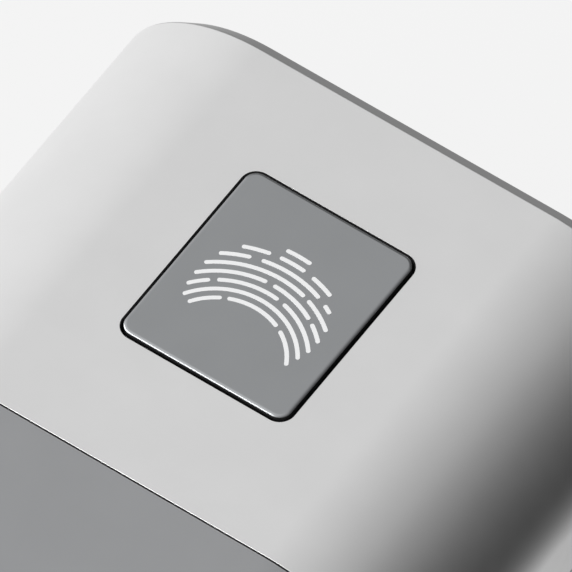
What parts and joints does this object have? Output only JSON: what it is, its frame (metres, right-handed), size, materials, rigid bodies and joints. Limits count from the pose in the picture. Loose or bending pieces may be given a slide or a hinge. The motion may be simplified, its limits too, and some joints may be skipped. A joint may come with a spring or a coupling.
{
  "type": "fingerprint scanner terminal",
  "caption": "Wall-mounted fingerprint reader with a sprung sensor pad in a round-shouldered two-tone metal casing, on a slide-off mounting plate.",
  "frame": {"origin": "middle of the wall plate's rear face, the lowest face, with the terminal lying on its back", "axes": "+Y along the casing towards the scanner end (up on the wall), +Z out of the front face, +X to the right seen from the front"},
  "size_m": [0.0724, 0.1682, 0.0359],
  "materials": {
    "silver_shell": "bead-blasted, clear anodised",
    "grey_shell": "bead-blasted, grey anodised",
    "frame_metal": "satin",
    "dark_casing": "fine moulded grain",
    "black_rubber": "matt",
    "pad_grey": "satin sensor coating",
    "white_ink": "printed",
    "sensor_glass": "polished die",
    "circuit_green": "solder mask",
    "spring_steel": "drawn wire",
    "screw_steel": "zinc plated",
    "brass_insert": "knurled",
    "plate_steel": "zinc plated sheet",
    "shield_tin": "tinned",
    "black_moulding": "moulded",
    "cell_steel": "polished",
    "terminal_green": "moulded",
    "copper_track": "bare copper",
    "light_diffuser": "frosted",
    "flex_amber": "polyimide film",
    "sound_cloth": "woven dust cloth",
    "relay_blue": "moulded"
  },
  "bodies": {
    "housing": {"upper_cover": "silver_shell", "lower_cover": "grey_shell", "mid_frame": "frame_metal", "rear_housing": "dark_casing", "front_gasket": "black_rubber", "rear_gasket": "black_rubber", "casing_screws": "screw_steel", "threaded_inserts": "brass_insert", "cable_grommet": "black_rubber", "tamper_spring": "spring_steel", "tamper_switch": "black_moulding", "pad_seal": "black_rubber", "sensor_tray": "black_moulding", "pad_springs": "spring_steel", "press_switch": "black_moulding", "main_board": "circuit_green", "processor_shield": "shield_tin", "door_relay": "relay_blue", "cell_holder": "black_moulding", "backup_cell": "cell_steel", "wire_terminals": "terminal_green", "terminal_screws": "screw_steel", "front_board": "circuit_green", "antenna_coil": "copper_track", "status_leds": "light_diffuser", "light_guide": "light_diffuser", "sounder": "black_moulding", "sound_mesh": "sound_cloth", "sensor_flex": "flex_amber", "front_flex": "flex_amber", "flex_connectors": "black_moulding", "tray_screws": "screw_steel", "main_board_screws": "screw_steel", "front_board_screws": "screw_steel"},
    "pad": {"scan_pad": "pad_grey", "pad_carrier": "black_moulding", "scan_symbol": "white_ink", "sensor_die": "sensor_glass", "sensor_board": "circuit_green", "pad_backing": "shield_tin", "switch_button": "black_moulding"},
    "plate": {"wall_plate": "plate_steel", "plate_studs": "screw_steel"},
    "plunger": {"tamper_plunger": "black_moulding"}
  },
  "joints": [
    {"name": "pad_press", "type": "slide", "parent": "housing", "child": "pad", "axis": [0, 0, -1], "range_m": [0, 0.0005], "stiffness_N_per_m": 2000, "springref_m": -0.0005, "deforming": ["pad_springs", "sensor_flex"]},
    {"name": "plate_slide", "type": "slide", "parent": "housing", "child": "plate", "axis": [0, -1, 0], "range_m": [0, 0.008]},
    {"name": "plunger_travel", "type": "slide", "parent": "housing", "child": "plunger", "axis": [0, 0, -1], "range_m": [0, 0.0012], "deforming": ["tamper_spring"]}
  ],
  "couplings": [
    {"joint": "plunger_travel", "follows": "plate_slide", "ratio": 0.15}
  ]
}
